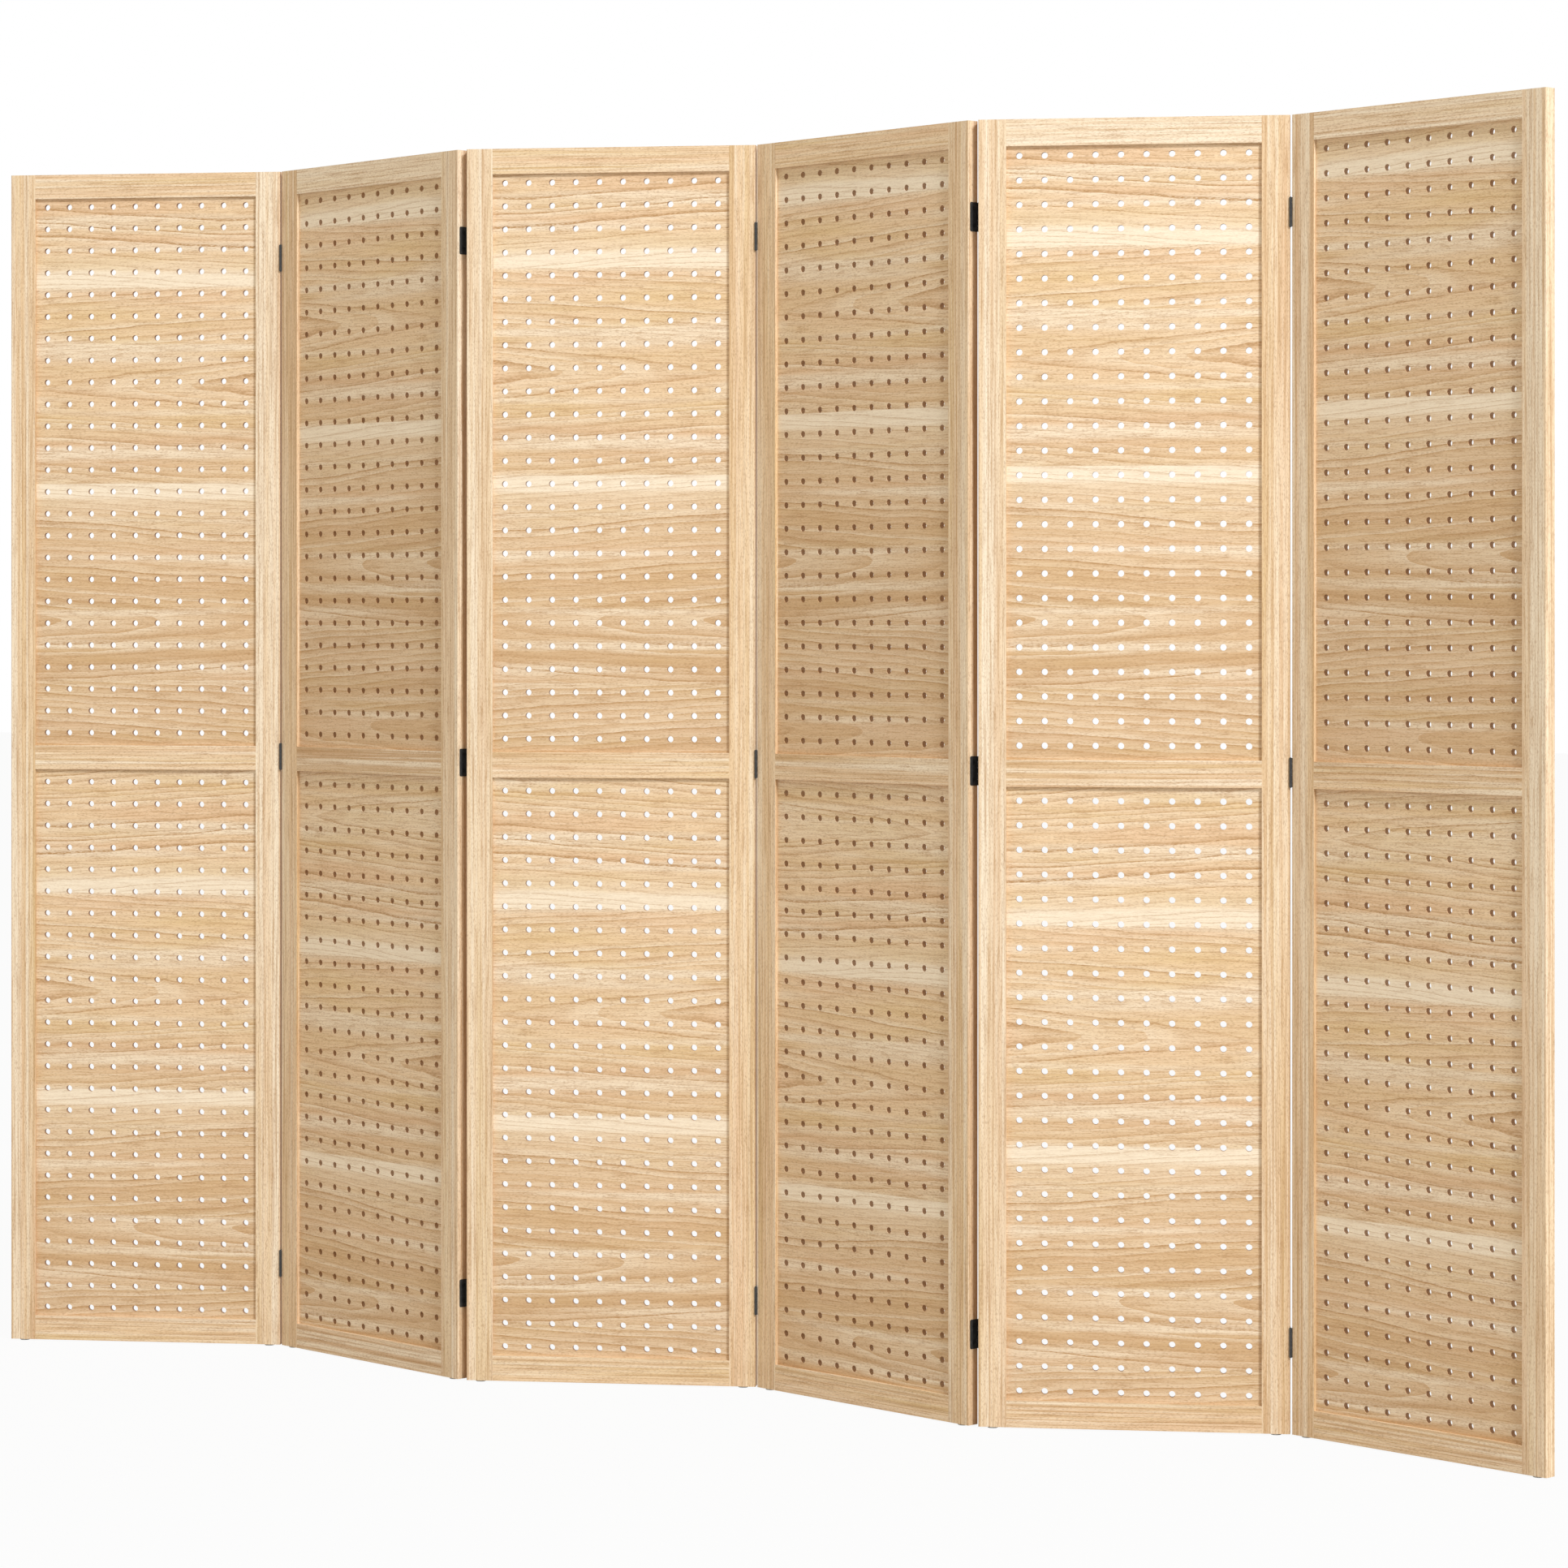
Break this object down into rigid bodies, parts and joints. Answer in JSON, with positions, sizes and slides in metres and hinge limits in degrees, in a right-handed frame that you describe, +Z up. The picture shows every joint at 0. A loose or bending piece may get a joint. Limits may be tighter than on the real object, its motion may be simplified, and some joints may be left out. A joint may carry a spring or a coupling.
{
  "type": "pegboard folding screen",
  "caption": "Free-standing folding room divider: hinged wooden frames, each holding pegboards with a grid of round peg holes, standing in a zigzag on floor glides.",
  "frame": {"origin": "on the floor, in the middle of the standing screen", "axes": "+X along the zigzag to the viewer's right, +Y to the back, +Z up"},
  "size_m": [2.3258, 0.15, 1.7],
  "materials": {
    "frame_wood": "pale clear-finished softwood, grain along each piece",
    "board_wood": "pale clear-finished board, horizontal grain with darker streaks",
    "hinge_metal": "satin black",
    "glide_plastic": "plain grey"
  },
  "bodies": {
    "panel_1": {"left_stile_1": "frame_wood", "right_stile_1": "frame_wood", "top_rail_1": "frame_wood", "middle_rail_1": "frame_wood", "bottom_rail_1": "frame_wood", "upper_pegboard_1": "board_wood", "lower_pegboard_1": "board_wood", "hinge_leaves_1": "hinge_metal", "floor_glides_1": "glide_plastic", "hinge_pins_1_2": "hinge_metal"},
    "panel_2": {"left_stile_2": "frame_wood", "right_stile_2": "frame_wood", "top_rail_2": "frame_wood", "middle_rail_2": "frame_wood", "bottom_rail_2": "frame_wood", "upper_pegboard_2": "board_wood", "lower_pegboard_2": "board_wood", "hinge_leaves_2": "hinge_metal", "floor_glides_2": "glide_plastic", "hinge_pins_2_3": "hinge_metal"},
    "panel_3": {"left_stile_3": "frame_wood", "right_stile_3": "frame_wood", "top_rail_3": "frame_wood", "middle_rail_3": "frame_wood", "bottom_rail_3": "frame_wood", "upper_pegboard_3": "board_wood", "lower_pegboard_3": "board_wood", "hinge_leaves_3": "hinge_metal", "floor_glides_3": "glide_plastic", "hinge_pins_3_4": "hinge_metal"},
    "panel_4": {"left_stile_4": "frame_wood", "right_stile_4": "frame_wood", "top_rail_4": "frame_wood", "middle_rail_4": "frame_wood", "bottom_rail_4": "frame_wood", "upper_pegboard_4": "board_wood", "lower_pegboard_4": "board_wood", "hinge_leaves_4": "hinge_metal", "floor_glides_4": "glide_plastic", "hinge_pins_4_5": "hinge_metal"},
    "panel_5": {"left_stile_5": "frame_wood", "right_stile_5": "frame_wood", "top_rail_5": "frame_wood", "middle_rail_5": "frame_wood", "bottom_rail_5": "frame_wood", "upper_pegboard_5": "board_wood", "lower_pegboard_5": "board_wood", "hinge_leaves_5": "hinge_metal", "floor_glides_5": "glide_plastic", "hinge_pins_5_6": "hinge_metal"},
    "panel_6": {"left_stile_6": "frame_wood", "right_stile_6": "frame_wood", "top_rail_6": "frame_wood", "middle_rail_6": "frame_wood", "bottom_rail_6": "frame_wood", "upper_pegboard_6": "board_wood", "lower_pegboard_6": "board_wood", "hinge_leaves_6": "hinge_metal", "floor_glides_6": "glide_plastic"}
  },
  "joints": [
    {"name": "fold_2_3", "type": "hinge", "parent": "panel_3", "child": "panel_2", "pos_m": [-0.3881, -0.05754, 0.851], "axis": [0, 0, -1], "range_deg": [-38.75, 141.25]},
    {"name": "fold_1_2", "type": "hinge", "parent": "panel_2", "child": "panel_1", "pos_m": [-0.77621, 0.05754, 0.851], "axis": [0, 0, 1], "range_deg": [-38.75, 141.25]},
    {"name": "fold_3_4", "type": "hinge", "parent": "panel_3", "child": "panel_4", "pos_m": [0, 0.05754, 0.851], "axis": [0, 0, -1], "range_deg": [-38.75, 141.25]},
    {"name": "fold_4_5", "type": "hinge", "parent": "panel_4", "child": "panel_5", "pos_m": [0.3881, -0.05754, 0.851], "axis": [0, 0, 1], "range_deg": [-38.75, 141.25]},
    {"name": "fold_5_6", "type": "hinge", "parent": "panel_5", "child": "panel_6", "pos_m": [0.77621, 0.05754, 0.851], "axis": [0, 0, -1], "range_deg": [-38.75, 141.25]}
  ]
}
